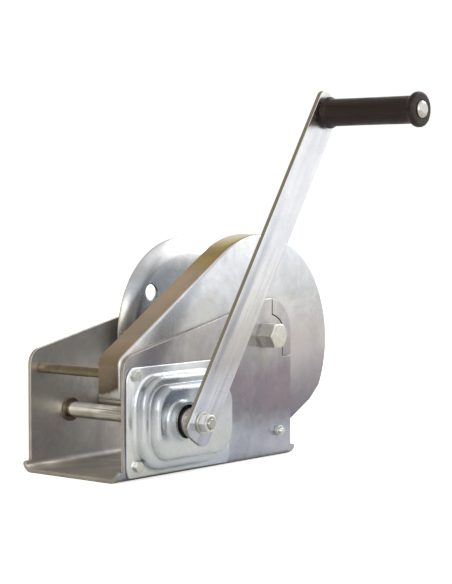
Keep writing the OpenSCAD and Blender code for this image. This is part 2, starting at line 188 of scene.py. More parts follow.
def spread(tree, value, low, high, out_low=0.0, out_high=1.0):
    """A value eased smoothly from one range into another."""
    node = tree.nodes.new("ShaderNodeMapRange")
    node.interpolation_type = "SMOOTHSTEP"
    node.inputs["From Min"].default_value = low
    node.inputs["From Max"].default_value = high
    node.inputs["To Min"].default_value = out_low
    node.inputs["To Max"].default_value = out_high
    tree.links.new(value, node.inputs["Value"])
    return node.outputs["Result"]


def sums(tree, kind, a, b):
    """One step of arithmetic on numbers or sockets."""
    node = tree.nodes.new("ShaderNodeMath")
    node.operation = kind
    for k, v in enumerate((a, b)):
        if isinstance(v, (int, float)):
            node.inputs[k].default_value = v
        else:
            tree.links.new(v, node.inputs[k])
    return node.outputs[0]


def blend_colour(tree, factor, a, b, kind="MIX"):
    """Mixes or multiplies two colours, each a colour or a socket."""
    node = tree.nodes.new("ShaderNodeMix")
    node.data_type = "RGBA"
    node.blend_type = kind
    for label, v in (("Factor", factor), ("A", a), ("B", b)):
        if isinstance(v, (int, float)):
            node.inputs[label].default_value = v
        elif isinstance(v, tuple):
            node.inputs[label].default_value = (*v, 1.0)
        else:
            tree.links.new(v, node.inputs[label])
    return node.outputs["Result"]


# clouds of lighter and darker zinc, with patches of violet and straw bloom
cloud_group, ins, outs = group_start(
    "zinc_clouds",
    [("Bright", "NodeSocketColor", (0.8, 0.8, 0.82, 1)),
     ("Dull", "NodeSocketColor", (0.55, 0.56, 0.6, 1)),
     ("Bloom", "NodeSocketColor", (0.6, 0.55, 0.66, 1)), ("Bloom Amount", "NodeSocketFloat", 0.4),
     ("Cloud Size", "NodeSocketFloat", 14.0), ("Straw Amount", "NodeSocketFloat", 0.22)],
    [("Colour", "NodeSocketColor"), ("Cloud", "NodeSocketFloat")])
t = cloud_group
place = t.nodes.new("ShaderNodeTexCoord").outputs["Object"]
big = spread(t, noise(t, place, ins.outputs["Cloud Size"], 5.0, 0.6, 0.8), 0.33, 0.66)
small = spread(t, noise(t, place, 95.0, 4.0, 0.65, 0.3), 0.30, 0.72)
cloud = sums(t, "ADD", sums(t, "MULTIPLY", big, 0.72), sums(t, "MULTIPLY", small, 0.28))
steel = blend_colour(t, cloud, ins.outputs["Dull"], ins.outputs["Bright"])
patch = spread(t, noise(t, place, 9.0, 3.0, 0.5, 1.2), 0.50, 0.68)
steel = blend_colour(
    t, sums(t, "MULTIPLY", patch, ins.outputs["Bloom Amount"]), steel, ins.outputs["Bloom"])
straw = spread(t, noise(t, place, 17.0, 2.0, 0.5, 0.7), 0.56, 0.72)
steel = blend_colour(
    t, sums(t, "MULTIPLY", straw, ins.outputs["Straw Amount"]), steel, (0.70, 0.62, 0.45))
t.links.new(steel, outs.inputs["Colour"])
t.links.new(cloud, outs.inputs["Cloud"])

# fine grain of the rolled sheet and scattered handling scratches
grain_group, ins, outs = group_start(
    "sheet_grain", [("Grain Size", "NodeSocketFloat", 900.0)],
    [("Height", "NodeSocketFloat"), ("Scratch", "NodeSocketFloat")])
t = grain_group
place = t.nodes.new("ShaderNodeTexCoord").outputs["Object"]
fine = noise(t, place, ins.outputs["Grain Size"], 3.0, 0.6)
wave = noise(t, place, 38.0, 2.0, 0.5)
scratches = []
for turn in ((0.5, 0.9, 0.2), (1.7, 0.3, 2.1)):
    lay = t.nodes.new("ShaderNodeMapping")
    lay.inputs["Rotation"].default_value = turn
    lay.inputs["Scale"].default_value = (22.0, 1500.0, 1500.0)
    t.links.new(place, lay.inputs["Vector"])
    scratches.append(spread(t, noise(t, lay.outputs["Vector"], 1.0, 2.0, 0.4), 0.70, 0.76))
scratch = sums(t, "MAXIMUM", *scratches)
height = sums(t, "ADD", sums(t, "MULTIPLY", fine, 0.35), sums(t, "MULTIPLY", wave, 1.0))
height = sums(t, "SUBTRACT", height, sums(t, "MULTIPLY", scratch, 0.06))
t.links.new(height, outs.inputs["Height"])
t.links.new(scratch, outs.inputs["Scratch"])

# grime that settles in corners and under fasteners, with painted shade: darker wherever ambient occlusion
# finds a corner, crease or underside
grime_and_shade_group, ins, outs = group_start(
    "corner_grime_and_shade", [("Reach", "NodeSocketFloat", 0.006)], [("Grime And Shade", "NodeSocketFloat")])
t = grime_and_shade_group
hollow = t.nodes.new("ShaderNodeAmbientOcclusion")
hollow.samples = 6
t.links.new(ins.outputs["Reach"], hollow.inputs["Distance"])
place = t.nodes.new("ShaderNodeTexCoord").outputs["Object"]
uneven = spread(t, noise(t, place, 60.0, 3.0), 0.25, 0.75, 0.45, 1.0)
depth = spread(t, hollow.outputs["AO"], 0.35, 0.95, 1.0, 0.0)
t.links.new(sums(t, "MULTIPLY", depth, uneven), outs.inputs["Grime And Shade"])


# where painted light and shade fall over a big sheet: its height with a drifting, cloudy error
drift_group, ins, outs = group_start(
    "drifting_height", [("Drift", "NodeSocketFloat", 0.03), ("Rearward", "NodeSocketFloat", 0.0)],
    [("Height", "NodeSocketFloat"), ("Sideways", "NodeSocketFloat"), ("Lengthways", "NodeSocketFloat"),
     ("Flat Side", "NodeSocketFloat")])
t = drift_group
where = t.nodes.new("ShaderNodeTexCoord")
axes = t.nodes.new("ShaderNodeSeparateXYZ")
t.links.new(where.outputs["Object"], axes.inputs[0])
waver = sums(t, "SUBTRACT", noise(t, where.outputs["Object"], 15.0, 4.0, 0.6, 0.6), 0.5)
tall = sums(t, "ADD", axes.outputs["Z"],
            sums(t, "MULTIPLY", waver, sums(t, "MULTIPLY", ins.outputs["Drift"], 2.0)))
tall = sums(t, "SUBTRACT", tall, sums(t, "MULTIPLY", axes.outputs["Y"], ins.outputs["Rearward"]))
t.links.new(tall, outs.inputs["Height"])
t.links.new(axes.outputs["X"], outs.inputs["Sideways"])
t.links.new(axes.outputs["Y"], outs.inputs["Lengthways"])
facing = t.nodes.new("ShaderNodeSeparateXYZ")
t.links.new(where.outputs["Normal"], facing.inputs[0])
t.links.new(spread(t, sums(t, "ABSOLUTE", facing.outputs["X"], 0.0), 0.45, 0.85), outs.inputs["Flat Side"])


def painted_light_by_height(tree, sheet, stops):
    """Painted light and shade that follow the drifting height: stops of (height in mm, colour)."""
    ramp_top = 400.0
    ramp = tree.nodes.new("ShaderNodeValToRGB")
    for place, shade in stops:
        stop = ramp.color_ramp.elements.new(place / ramp_top)
        stop.color = (*shade, 1.0)
    ramp.color_ramp.elements.remove(ramp.color_ramp.elements[0])
    ramp.color_ramp.elements.remove(ramp.color_ramp.elements[-1])
    tree.links.new(sums(tree, "DIVIDE", sheet.outputs["Height"], ramp_top / 1000.0), ramp.inputs["Fac"])
    return ramp.outputs["Color"]


def plated(name, bright, dull, bloom, amount, rough, size=14.0, grime_and_shade=(0.16, 0.14, 0.12),
           painted_tones=None, edge=None, inside=None, rearward=0.0, drift=0.03, worn=0.35, streaks=None,
           matt_inside=0.0, straw=0.22):
    """Zinc-plated steel: clouds of colour, grain, scratches, and grime with painted shade in the corners.

    painted_tones paints light and shade on a big sheet by height, in mm; edge paints the faces that
    look away from x the same way, as painted reflection, highlight and shade; inside =
    (x from, x to, colour) paints the parts further in lighter, in place of the painted tones,
    matt_inside roughens them, and two more places along y limit them to the front; streaks =
    (degrees from y, colour) lays soft streaks along a bar."""
    mat = bpy.data.materials.new(name)
    mat.use_nodes = True
    tree = mat.node_tree
    shader = tree.nodes["Principled BSDF"]
    shader.inputs["Metallic"].default_value = 1.0
    clouds = tree.nodes.new("ShaderNodeGroup")
    clouds.node_tree = cloud_group
    clouds.inputs["Bright"].default_value = (*bright, 1.0)
    clouds.inputs["Dull"].default_value = (*dull, 1.0)
    clouds.inputs["Bloom"].default_value = (*bloom, 1.0)
    clouds.inputs["Bloom Amount"].default_value = amount
    clouds.inputs["Cloud Size"].default_value = size
    clouds.inputs["Straw Amount"].default_value = straw
    grain = tree.nodes.new("ShaderNodeGroup")
    grain.node_tree = grain_group
    soil_and_shade = tree.nodes.new("ShaderNodeGroup")
    soil_and_shade.node_tree = grime_and_shade_group
    colour = clouds.outputs["Colour"]
    if painted_tones or edge or inside:
        sheet = tree.nodes.new("ShaderNodeGroup")
        sheet.node_tree = drift_group
        sheet.inputs["Rearward"].default_value = rearward
        sheet.inputs["Drift"].default_value = drift
    # painted light and shade by height
    if painted_tones:
        colour = blend_colour(tree, 1.0, painted_light_by_height(tree, sheet, painted_tones), colour, "MULTIPLY")
    if streaks:
        along = tree.nodes.new("ShaderNodeMapping")
        along.inputs["Rotation"].default_value = (math.radians(-streaks[0]), 0.0, 0.0)
        bar_place = tree.nodes.new("ShaderNodeTexCoord").outputs["Object"]
        tree.links.new(bar_place, along.inputs["Vector"])
        drawn = tree.nodes.new("ShaderNodeMapping")
        drawn.inputs["Scale"].default_value = (0.0, 4.0, 55.0)
        tree.links.new(along.outputs["Vector"], drawn.inputs["Vector"])
        wide = spread(tree, noise(tree, drawn.outputs["Vector"], 1.0, 3.0, 0.55, 0.3), 0.42, 0.66)
        drawn_fine = tree.nodes.new("ShaderNodeMapping")
        drawn_fine.inputs["Scale"].default_value = (0.0, 9.0, 320.0)
        tree.links.new(along.outputs["Vector"], drawn_fine.inputs["Vector"])
        thin = noise(tree, drawn_fine.outputs["Vector"], 1.0, 3.0, 0.6)
        thin = spread(tree, thin, 0.42, 0.75, 0.0, 0.5)
        fade = spread(tree, sheet.outputs["Height"], 0.16, 0.27, 1.0, 0.35)
        drawn_amount = sums(tree, "MULTIPLY", sums(tree, "MAXIMUM", wide, thin), fade)
        colour = blend_colour(tree, drawn_amount, colour,
                              blend_colour(tree, 1.0, colour, streaks[1], "MULTIPLY"))
    # the parts further in take a painted light in place of the painted tones
    if inside:
        far = spread(tree, sheet.outputs["Sideways"], inside[0] * 0.001, inside[1] * 0.001)
        inner = blend_colour(tree, 1.0, clouds.outputs["Colour"], inside[2], "MULTIPLY")
        if len(inside) > 3:
            ahead = spread(tree, sheet.outputs["Lengthways"], inside[3] * 0.001, inside[4] * 0.001)
            inner = blend_colour(tree, ahead, inner, colour)
        colour = blend_colour(tree, far, inner, colour)
    # faces that look away from x take a painted reflection, highlight and shade by height
    if edge:
        rim = blend_colour(
            tree, 1.0, clouds.outputs["Colour"], painted_light_by_height(tree, sheet, edge), "MULTIPLY")
        colour = blend_colour(tree, sheet.outputs["Flat Side"], rim, colour)
    colour = blend_colour(
        tree, sums(tree, "MULTIPLY", grain.outputs["Scratch"], worn), colour, (0.86, 0.86, 0.86))
    # grime and painted shade where the occlusion mask finds corners, creases and undersides
    colour = blend_colour(tree, sums(tree, "MULTIPLY", soil_and_shade.outputs["Grime And Shade"], 0.55), colour, grime_and_shade)
    tree.links.new(colour, shader.inputs["Base Color"])
    matt = sums(tree, "SUBTRACT", rough + 0.06, sums(tree, "MULTIPLY", clouds.outputs["Cloud"], 0.12))
    matt = sums(tree, "ADD", matt, sums(tree, "MULTIPLY", soil_and_shade.outputs["Grime And Shade"], 0.2))
    if inside and matt_inside:
        within = sums(tree, "SUBTRACT", 1.0, far)
        matt = sums(tree, "ADD", matt, sums(tree, "MULTIPLY", within, matt_inside))
    tree.links.new(matt, shader.inputs["Roughness"])
    relief = tree.nodes.new("ShaderNodeBump")
    relief.inputs["Strength"].default_value = 1.0
    relief.inputs["Distance"].default_value = 0.00002
    tree.links.new(grain.outputs["Height"], relief.inputs["Height"])
    tree.links.new(relief.outputs["Normal"], shader.inputs["Normal"])
    return mat


def dress(node, material, edge=0.4, crease=30.0):
    """Gives a CAD part its material and eases its sharp edges by a few tenths of a millimetre."""
    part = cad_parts[node]
    part.data.materials.clear()
    part.data.materials.append(material)
    for label in ("custom_normal", "sharp_edge", "sharp_face"):
        if label in part.data.attributes:
            part.data.attributes.remove(part.data.attributes[label])
    part.data.polygons.foreach_set("use_smooth", [True] * len(part.data.polygons))
    weld = part.modifiers.new("weld", "WELD")
    weld.merge_threshold = 0.000002
    flats = part.modifiers.new("whole_flats", "DECIMATE")
    flats.decimate_type = "DISSOLVE"
    flats.angle_limit = math.radians(0.6)
    eased = part.modifiers.new("eased_edges", "BEVEL")
    eased.width = edge / 1000.0
    eased.segments = 2
    eased.limit_method = "ANGLE"
    eased.angle_limit = math.radians(crease)
    eased.use_clamp_overlap = False
    even = part.modifiers.new("even_shading", "WEIGHTED_NORMAL")
    even.keep_sharp = True
    return part


# The frame's colour by height, on its edges and on its inner faces is painted light and shade: painted shade
# through the middle heights, lighter towards the base and the top, a warm painted reflection on the plate
# edges and painted light on the faces further in.
frame_zinc = plated(
    "zinc_frame", (1.0, 1.0, 1.0), (0.70, 0.70, 0.73), (0.82, 0.73, 0.79), 0.50, 0.24, 24.0,
    painted_tones=((6, (0.66, 0.70, 0.80)), (30, (0.60, 0.65, 0.76)), (52, (0.38, 0.36, 0.41)),
           (88, (0.42, 0.38, 0.43)), (112, (0.56, 0.55, 0.56)), (160, (0.78, 0.77, 0.76))),
    edge=((0, (0.74, 0.70, 0.60)), (180, (0.74, 0.70, 0.60))),
    inside=(54, 60, (1.0, 0.95, 0.88)), matt_inside=0.16, drift=0.02, worn=0.15)
dress("frame", frame_zinc, 0.5, 25.0)

# ---------------------------------------------------------------- corner plate
# A separate piece of the same sheet that closes the notch above the drum axle,
# set in with a dark gap all round it and resting on the guard.
dress("corner_plate", frame_zinc, 0.5, 25.0)

# ---------------------------------------------------------------- spacer bar
# A turned steel bar across the upper front of the frame, tapped at both ends;
# a hexagon bolt holds it on the far side and a cover screw on the crank side.
# The fasteners' dark grime colour also paints the shade round and under their heads.
fastener_zinc = plated(
    "zinc_fasteners", (0.94, 0.94, 0.90), (0.66, 0.67, 0.62), (0.74, 0.70, 0.58), 0.35, 0.27, 60.0,
    grime_and_shade=(0.10, 0.09, 0.07))
# The bar's olive colour is partly its own tint and partly painted shade: it is darkened to stand in for the
# dim warm side it mirrors.
bar_tint_with_painted_shade = plated(
    "olive_bar_with_painted_shade", (0.30, 0.25, 0.17), (0.22, 0.18, 0.12), (0.25, 0.20, 0.12), 0.35, 0.30, 40.0, worn=0.12)
dress("tie_rod", bar_tint_with_painted_shade, 0.5)

MM = 0.001
ROUND = 72


def skin(name, rings, material, body, loop=False, crease=28.0):
    """A closed surface through rings of points in millimetres; a ring of one point closes an end."""
    verts, faces, first = [], [], []
    for ring in rings:
        first.append(len(verts))
        verts.extend([(p[0] * MM, p[1] * MM, p[2] * MM) for p in ring])
    pairs = [(k, k + 1) for k in range(len(rings) - 1)]
    if loop:
        pairs.append((len(rings) - 1, 0))
    for a, b in pairs:
        na, nb = len(rings[a]), len(rings[b])
        n = max(na, nb)
        for i in range(n):
            j = (i + 1) % n
            if na == 1:
                faces.append((first[a], first[b] + j, first[b] + i))
            elif nb == 1:
                faces.append((first[a] + i, first[a] + j, first[b]))
            else:
                faces.append((first[a] + i, first[a] + j, first[b] + j, first[b] + i))
    return solid(name, verts, faces, material, body, crease)


def solid(name, verts, faces, material, body, crease=28.0):
    """A piece of the winch made of one mesh, riding on its body."""
    mesh = bpy.data.meshes.new(name)
    mesh.from_pydata(verts, [], faces)
    shape = bmesh.new()
    shape.from_mesh(mesh)
    bmesh.ops.recalc_face_normals(shape, faces=shape.faces)
    shape.to_mesh(mesh)
    shape.free()
    mesh.polygons.foreach_set("use_smooth", [True] * len(mesh.polygons))
    mesh.set_sharp_from_angle(angle=math.radians(crease))
    mesh.materials.append(material)
    piece = bpy.data.objects.new(name, mesh)
    scene.collection.objects.link(piece)
    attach(piece, body)
    return piece


def ring(x, r, y, z, n=ROUND):
    """Points of a circle about a shaft line along x; r may be a function of the angle."""
    if not callable(r) and r == 0:
        return [(x, y, z)]
    points = []
    for k in range(n):
        a = 2.0 * math.pi * k / n
        q = r(a) if callable(r) else r
        s = x(a) if callable(x) else x
        points.append((s, y + q * math.cos(a), z + q * math.sin(a)))
    return points


def hexagon(flats):
    """Radius of a hexagon of that size across flats, one flat on top."""
    return lambda a: flats / 2.0 / math.cos((a % (math.pi / 3.0)) - math.pi / 6.0)


def hex_rings(x0, x1, flats, y, z, ease0=True, ease1=True):
    """Rings of a hexagon head or nut from x0 to x1, with the turned chamfer on either face."""
    edge, face, tan30 = hexagon(flats), flats * 0.475, math.tan(math.radians(30.0))
    way = 1.0 if x1 > x0 else -1.0
    rings = []
    if ease0:
        rings.append(ring(x0, face, y, z))
        rings.append(ring(lambda a: x0 + way * (edge(a) - face) * tan30, edge, y, z))
    else:
        rings.append(ring(x0, edge, y, z))
    if ease1:
        rings.append(ring(lambda a: x1 - way * (edge(a) - face) * tan30, edge, y, z))
        rings.append(ring(x1, face, y, z))
    else:
        rings.append(ring(x1, edge, y, z))
    return rings


def thread_rings(x0, x1, r, pitch, y, z):
    """Rings of a screw thread that runs out into a chamfer at x1."""
    way = 1.0 if x1 > x0 else -1.0
    count = max(4, int(abs(x1 - x0) / pitch * 6))
    rings = []
    for k in range(count + 1):
        s = (x1 - x0) * k / count
        left = abs(x1 - x0) - abs(s)

        def radius(a, s=s, left=left):
            turn = (s / pitch - way * a / (2.0 * math.pi)) % 1.0
            cut = 0.55 * pitch * (1.0 - abs(2.0 * turn - 1.0))
            return min(r - cut * 0.9, r - 0.12 * r + left)
        rings.append(ring(x0 + s, radius, y, z))
    return rings


def bolt(name, head, under, tip, flats, r, pitch, y, z, body, node, threaded=12.0):
    """A hexagon bolt along x: head face, underside of the head, tip."""
    way = 1.0 if tip > head else -1.0
    start = tip - way * min(threaded, abs(tip - under) * 0.8)
    rings = [ring(head, 0, y, z), ring(head, flats * 0.30, y, z)]
    rings += hex_rings(head, under, flats, y, z, True, False)
    rings += [ring(under, r, y, z), ring(start - way * 0.3, r, y, z)]
    rings += thread_rings(start, tip, r, pitch, y, z)
    rings += [ring(tip, 0, y, z)]
    piece = skin(name, rings, fastener_zinc, body)
    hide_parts(node)
    return piece


def nut(name, x0, x1, flats, bore, y, z, body, node, ease0=True, ease1=True):
    """A hexagon nut along x, countersunk at both ends of its thread."""
    rings = hex_rings(x0, x1, flats, y, z, ease0, ease1)
    way = 1.0 if x1 > x0 else -1.0
    rings += [ring(x1, bore + 0.9, y, z), ring(x1 - way * 0.9, bore, y, z)]
    rings += [ring(x0 + way * 0.9, bore, y, z), ring(x0, bore + 0.9, y, z)]
    piece = skin(name, rings, fastener_zinc, body, loop=True)
    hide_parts(node)
    return piece


bolt("spacer_bar_bolt", -69.0, -65.0, -47.0, 10.0, 3.0, 1.0, -114.5, 102.0, "base", "tie_rod_bolt")

# ---------------------------------------------------------------- drum axle
# A long M16 steel bolt through both side plates: its deep head is on the crank
# side over a thin nut, its own nut on the far side; plain tube spacers inside.
AXLE_Y, AXLE_Z = 85.0, 129.0
bolt("drum_axle_bolt", 84.5, 72.0, -80.0, 24.0, 8.0, 2.0, AXLE_Y, AXLE_Z, "base", "drum_axle", 30.0)
nut("axle_thin_nut", 65.0, 71.95, 24.0, 8.05, AXLE_Y, AXLE_Z, "base", "axle_lock_nut", False, False)
nut("axle_far_nut", -65.0, -78.0, 24.0, 8.05, AXLE_Y, AXLE_Z, "base", "axle_nut", False, True)
shaft_steel = plated(
    "turned_steel", (0.72, 0.71, 0.67), (0.50, 0.49, 0.46), (0.54, 0.50, 0.43), 0.25, 0.20, 40.0)
dress("axle_spacers", shaft_steel, 0.4)

# ---------------------------------------------------------------- drum
# Welded drum: a tube core between a dished far flange with a strap hole and a
# flat near flange, with the big cut gear beside it, turning on two bushes.
drum_zinc = plated("zinc_drum", (0.88, 0.90, 0.93), (0.68, 0.71, 0.76), (0.66, 0.70, 0.78), 0.30, 0.26, 10.0)
gear_steel = plated("gear_steel", (0.50, 0.49, 0.47), (0.30, 0.29, 0.28), (0.36, 0.33, 0.28), 0.3, 0.32, 30.0)
bronze = plated("bronze", (0.66, 0.48, 0.27), (0.42, 0.30, 0.16), (0.50, 0.34, 0.16), 0.3, 0.30, 50.0)
dress("drum_core", drum_zinc, 0.5)
dress("near_flange", drum_zinc, 0.6)
dress("drum_gear", gear_steel, 0.25)
dress("drum_bushes", bronze, 0.4)


def rounded(points):
    """Cuts the corners of an open line of (x, r) points, twice, to roll them over."""
    for _ in range(2):
        out = [points[0]]
        for (x0, r0), (x1, r1) in zip(points, points[1:]):
            out.append((0.75 * x0 + 0.25 * x1, 0.75 * r0 + 0.25 * r1))
            out.append((0.25 * x0 + 0.75 * x1, 0.25 * r0 + 0.75 * r1))
        points = out + [points[-1]]
    return points


FLANGE_X, FLANGE_R = -41.0, 99.7
# The dish's colour by height and on its rim is painted: painted shade over most of it, painted light near its
# top, and a warm painted reflection on the faces that look away from x.
dish_zinc = plated(
    "zinc_dish", (1.0, 1.0, 1.0), (0.78, 0.79, 0.80), (0.80, 0.80, 0.84), 0.30, 0.28, 12.0,
    painted_tones=((110, (0.62, 0.63, 0.65)), (145, (0.56, 0.54, 0.50)), (175, (0.46, 0.49, 0.51)),
           (195, (0.52, 0.53, 0.54)), (212, (0.92, 0.92, 0.93))),
    edge=((60, (0.58, 0.56, 0.50)), (235, (0.58, 0.56, 0.50))), drift=0.012, worn=0.1)
dish = [(FLANGE_X, 60.0), (FLANGE_X, FLANGE_R - 21.0), (FLANGE_X - 1.4, FLANGE_R - 15.0),
        (FLANGE_X - 5.4, FLANGE_R - 7.0), (FLANGE_X - 9.9, FLANGE_R - 1.6), (FLANGE_X - 9.6, FLANGE_R),
        (FLANGE_X - 8.4, FLANGE_R - 0.4), (FLANGE_X - 3.6, FLANGE_R - 6.0), (FLANGE_X + 0.9, FLANGE_R - 14.0),
        (FLANGE_X + 2.5, FLANGE_R - 20.0), (FLANGE_X + 2.5, 60.0)]
profile = [(FLANGE_X, 12.05), (FLANGE_X, 30.0)] + rounded(dish)
profile += [(FLANGE_X + 2.5, 30.0), (FLANGE_X + 2.5, 12.05)]
far_flange = skin("dished_flange", [ring(x, r, AXLE_Y, AXLE_Z, 144) for x, r in profile], dish_zinc,
                  "drum", loop=True, crease=40.0)


def punch(piece, y, z, r, x0, x1):
    """Punches a round hole along x through a sheet, with a slightly eased edge on both faces."""
    flare, clear = 0.7, 3
    rings = [ring(x0 - clear, 0, y, z)]
    rings += [ring(x, q, y, z, 48) for x, q in (
        (x0 - clear, r + flare), (x0, r + flare), (x0 + flare, r),
        (x1 - flare, r), (x1, r + flare), (x1 + clear, r + flare))]
    rings += [ring(x1 + clear, 0, y, z)]
    tool = skin("hole_tool", rings, shaft_steel, "base")
    cut = piece.modifiers.new("hole", "BOOLEAN")
    cut.object, cut.operation, cut.solver = tool, "DIFFERENCE", "EXACT"
    whole = bpy.context.evaluated_depsgraph_get()
    made = bpy.data.meshes.new_from_object(piece.evaluated_get(whole))
    piece.modifiers.clear()
    piece.data = made
    bpy.data.objects.remove(tool)


punch(far_flange, AXLE_Y - 60.5, AXLE_Z + 43.6, 8.0, FLANGE_X - 0.01, FLANGE_X + 2.51)
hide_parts("far_flange")

# ---------------------------------------------------------------- intermediate gears
# A two-step gear cluster, cut from bar, turns on a bronze bush on a plain stud
# whose head is on the far plate and whose nut is under the brake cover.
STUD_Y, STUD_Z = -23.6864, 65.2562
bolt("gear_stud", -72.0, -65.0, 70.0, 18.0, 6.0, 1.75, STUD_Y, STUD_Z, "base", "idler_axle")
nut("gear_stud_nut", 65.0, 69.6, 18.0, 6.05, STUD_Y, STUD_Z, "base", "idler_nut", False, True)
dress("idler_spacer", shaft_steel, 0.4)
dress("idler_bush", bronze, 0.3)
dress("idler_pinion", gear_steel, 0.25)
dress("idler_gear", gear_steel, 0.25)

# ---------------------------------------------------------------- crank shaft
# A ground steel shaft through a flanged bush in each plate, with the small
# pinion pressed on it, a spring ring on its far end and a threaded crank end.
SHAFT_Y, SHAFT_Z = -73.0, 57.0
shaft = [ring(x, r, SHAFT_Y, SHAFT_Z) for x, r in (
    (-69.0, 0), (-69.0, 7.0), (-68.0, 8.0),
    (65.45, 8.0), (65.45, 25.6), (65.85, 26.0), (68.05, 26.0), (68.45, 25.6), (68.45, 8.0),
    (77.95, 8.0), (78.25, 7.7), (78.25, 7.0), (110.4, 7.0), (110.7, 6.7), (110.7, 5.0), (121.9, 5.0))]
shaft += thread_rings(122.0, 128.5, 5.0, 1.5, SHAFT_Y, SHAFT_Z)
shaft += [ring(128.5, 0, SHAFT_Y, SHAFT_Z)]
crank_shaft = skin("crank_spindle", shaft, shaft_steel, "crank")
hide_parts("crank_shaft")
dress("crank_pinion", gear_steel, 0.25)
bush_dark = plated(
    "bush_oiled", (0.36, 0.28, 0.20), (0.20, 0.15, 0.11), (0.26, 0.18, 0.10), 0.3, 0.35, 50.0)
dress("far_bush", bush_dark, 0.5)
dress("near_bush", bush_dark, 0.5)
spring_steel = plated(
    "spring_steel", (0.20, 0.20, 0.21), (0.10, 0.10, 0.11), (0.15, 0.13, 0.12), 0.2, 0.32, 50.0)
dress("shaft_circlip", spring_steel, 0.2)

# ---------------------------------------------------------------- brake
# Inside the cover: two friction rings squeeze a ratchet wheel between the flange of
# the shaft and a hub, whose thread is not drawn; a sprung pawl holds the wheel.
brake_lining = bpy.data.materials.new("brake_lining")
brake_lining.use_nodes = True
lt = brake_lining.node_tree
lining_shader = lt.nodes["Principled BSDF"]
lining_place = lt.nodes.new("ShaderNodeTexCoord").outputs["Object"]
flecks = spread(lt, noise(lt, lining_place, 700.0, 2.0), 0.58, 0.66)
lining_colour = blend_colour(lt, flecks, (0.10, 0.08, 0.065), (0.42, 0.34, 0.20))
lt.links.new(lining_colour, lining_shader.inputs["Base Color"])
lt.links.new(spread(lt, flecks, 0.0, 1.0, 0.85, 0.5), lining_shader.inputs["Roughness"])
lining_bump = lt.nodes.new("ShaderNodeBump")
lining_bump.inputs["Distance"].default_value = 0.0001
lt.links.new(noise(lt, lining_place, 900.0), lining_bump.inputs["Height"])
lt.links.new(lining_bump.outputs["Normal"], lining_shader.inputs["Normal"])
dress("friction_discs", brake_lining, 0.3)
dress("ratchet_wheel", gear_steel, 0.3)
dress("pawl", gear_steel, 0.4)
dress("pawl_pin", shaft_steel, 0.4)
dress("pawl_spring", spring_steel, 0.1, 60.0)
dress("pawl_circlip", spring_steel, 0.2)
hub = [(80.25, 8.05), (76.25, 8.05), (76.25, 25.6), (76.65, 26.0), (79.85, 26.0), (80.25, 25.6),
       (80.25, 14.4), (80.65, 14.0), (93.0, 14.0), (94.0, 13.0), (97.0, 13.0), (98.0, 14.0),
       (110.5, 14.0), (111.0, 13.5), (111.0, 7.05), (80.25, 7.05)]
pressure_hub = skin("pressing_hub", [ring(x, r, SHAFT_Y, SHAFT_Z) for x, r in hub], shaft_steel,
                    "crank", loop=True)
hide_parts("pressure_hub")

# ---------------------------------------------------------------- gear guard
# A pressed guard over the gears: one sheet face clamped behind the crank-side
# plate, with a rolled fold into a deep rim that wraps the drum gear and turns
# under at the front.
GUARD_FACE, GUARD_SHEET, GUARD_RIM = 61.0, 2.0, 34.0
RIM_Y, RIM_Z, RIM_R = AXLE_Y - 1.3, AXLE_Z - 9.4, 113.5
RIM_SLOPE, NOSE_R = math.radians(32.3), 13.0
NOSE_Y = -131.0 + NOSE_R
TOP_Y = RIM_Y + RIM_R * math.cos(RIM_SLOPE + math.pi / 2.0)
TOP_Z = RIM_Z + RIM_R * math.sin(RIM_SLOPE + math.pi / 2.0)
NOSE_Z = TOP_Z + (NOSE_Y - TOP_Y) * math.tan(RIM_SLOPE) - NOSE_R / math.cos(RIM_SLOPE)
LOW_SLOPE = math.radians(28.2)


def arc_points(y, z, r, a, b, n):
    """Points of an arc about (y, z) from angle a to angle b, in n steps."""
    turns = [a + (b - a) * k / n for k in range(n + 1)]
    return [(y + r * math.cos(turn), z + r * math.sin(turn)) for turn in turns]


def lower_line(y, g):
    """Height of the guard's sloping lower edge at y, set in by g."""
    return AXLE_Z - 92.7 + g / math.cos(LOW_SLOPE) + (y - AXLE_Y - 50.3) * math.tan(LOW_SLOPE)


def guard_line(g):
    """Outline of the guard set in by g: (y, z, whether the rim stands there)."""
    def at(z):
        return AXLE_Y + 50.3 + (z - lower_line(AXLE_Y + 50.3, g)) / math.tan(LOW_SLOPE)
    line = [(at(14.0 + g), 14.0 + g, False), (at(22.0), 22.0, False), (at(22.01), 22.01, True)]
    line += [(at(30.0 + 13.0 * k), 30.0 + 13.0 * k, True) for k in range(2)]
    line += [(AXLE_Y + 85.0 - g, lower_line(AXLE_Y + 85.0 - g, g), True)]
    line += [(y, z, True) for y, z in arc_points(RIM_Y, RIM_Z, RIM_R - g, math.radians(-26.5),
                                                 RIM_SLOPE + math.pi / 2.0, 72)]
    nose = arc_points(NOSE_Y, NOSE_Z, NOSE_R - g, RIM_SLOPE + math.pi / 2.0, math.pi, 10)
    top_end, nose_start = line[-1], nose[0]
    line += [(top_end[0] + (nose_start[0] - top_end[0]) * k / 6.0,
              top_end[1] + (nose_start[1] - top_end[1]) * k / 6.0, True) for k in range(1, 6)]
    line += [(y, z, True) for y, z in nose]
    line += [(-131.0 + g, 100.0, True)]
    line += [(y, z, True) for y, z in arc_points(-119.5, 88.5, 11.5 - g, math.pi, 1.5 * math.pi, 10)]
    line += [(-118.5 + g, 77.0 + g, True), (-118.5 + g, 76.99 + g, False), (-118.5 + g, 14.0 + g, False)]
    return line


def guard_ring(x, g):
    """One ring of the guard; where there is no rim it stays at the back of the sheet."""
    back = GUARD_FACE - GUARD_SHEET - 0.02
    return [(x if rim else max(x, back), y, z) for y, z, rim in guard_line(g)]


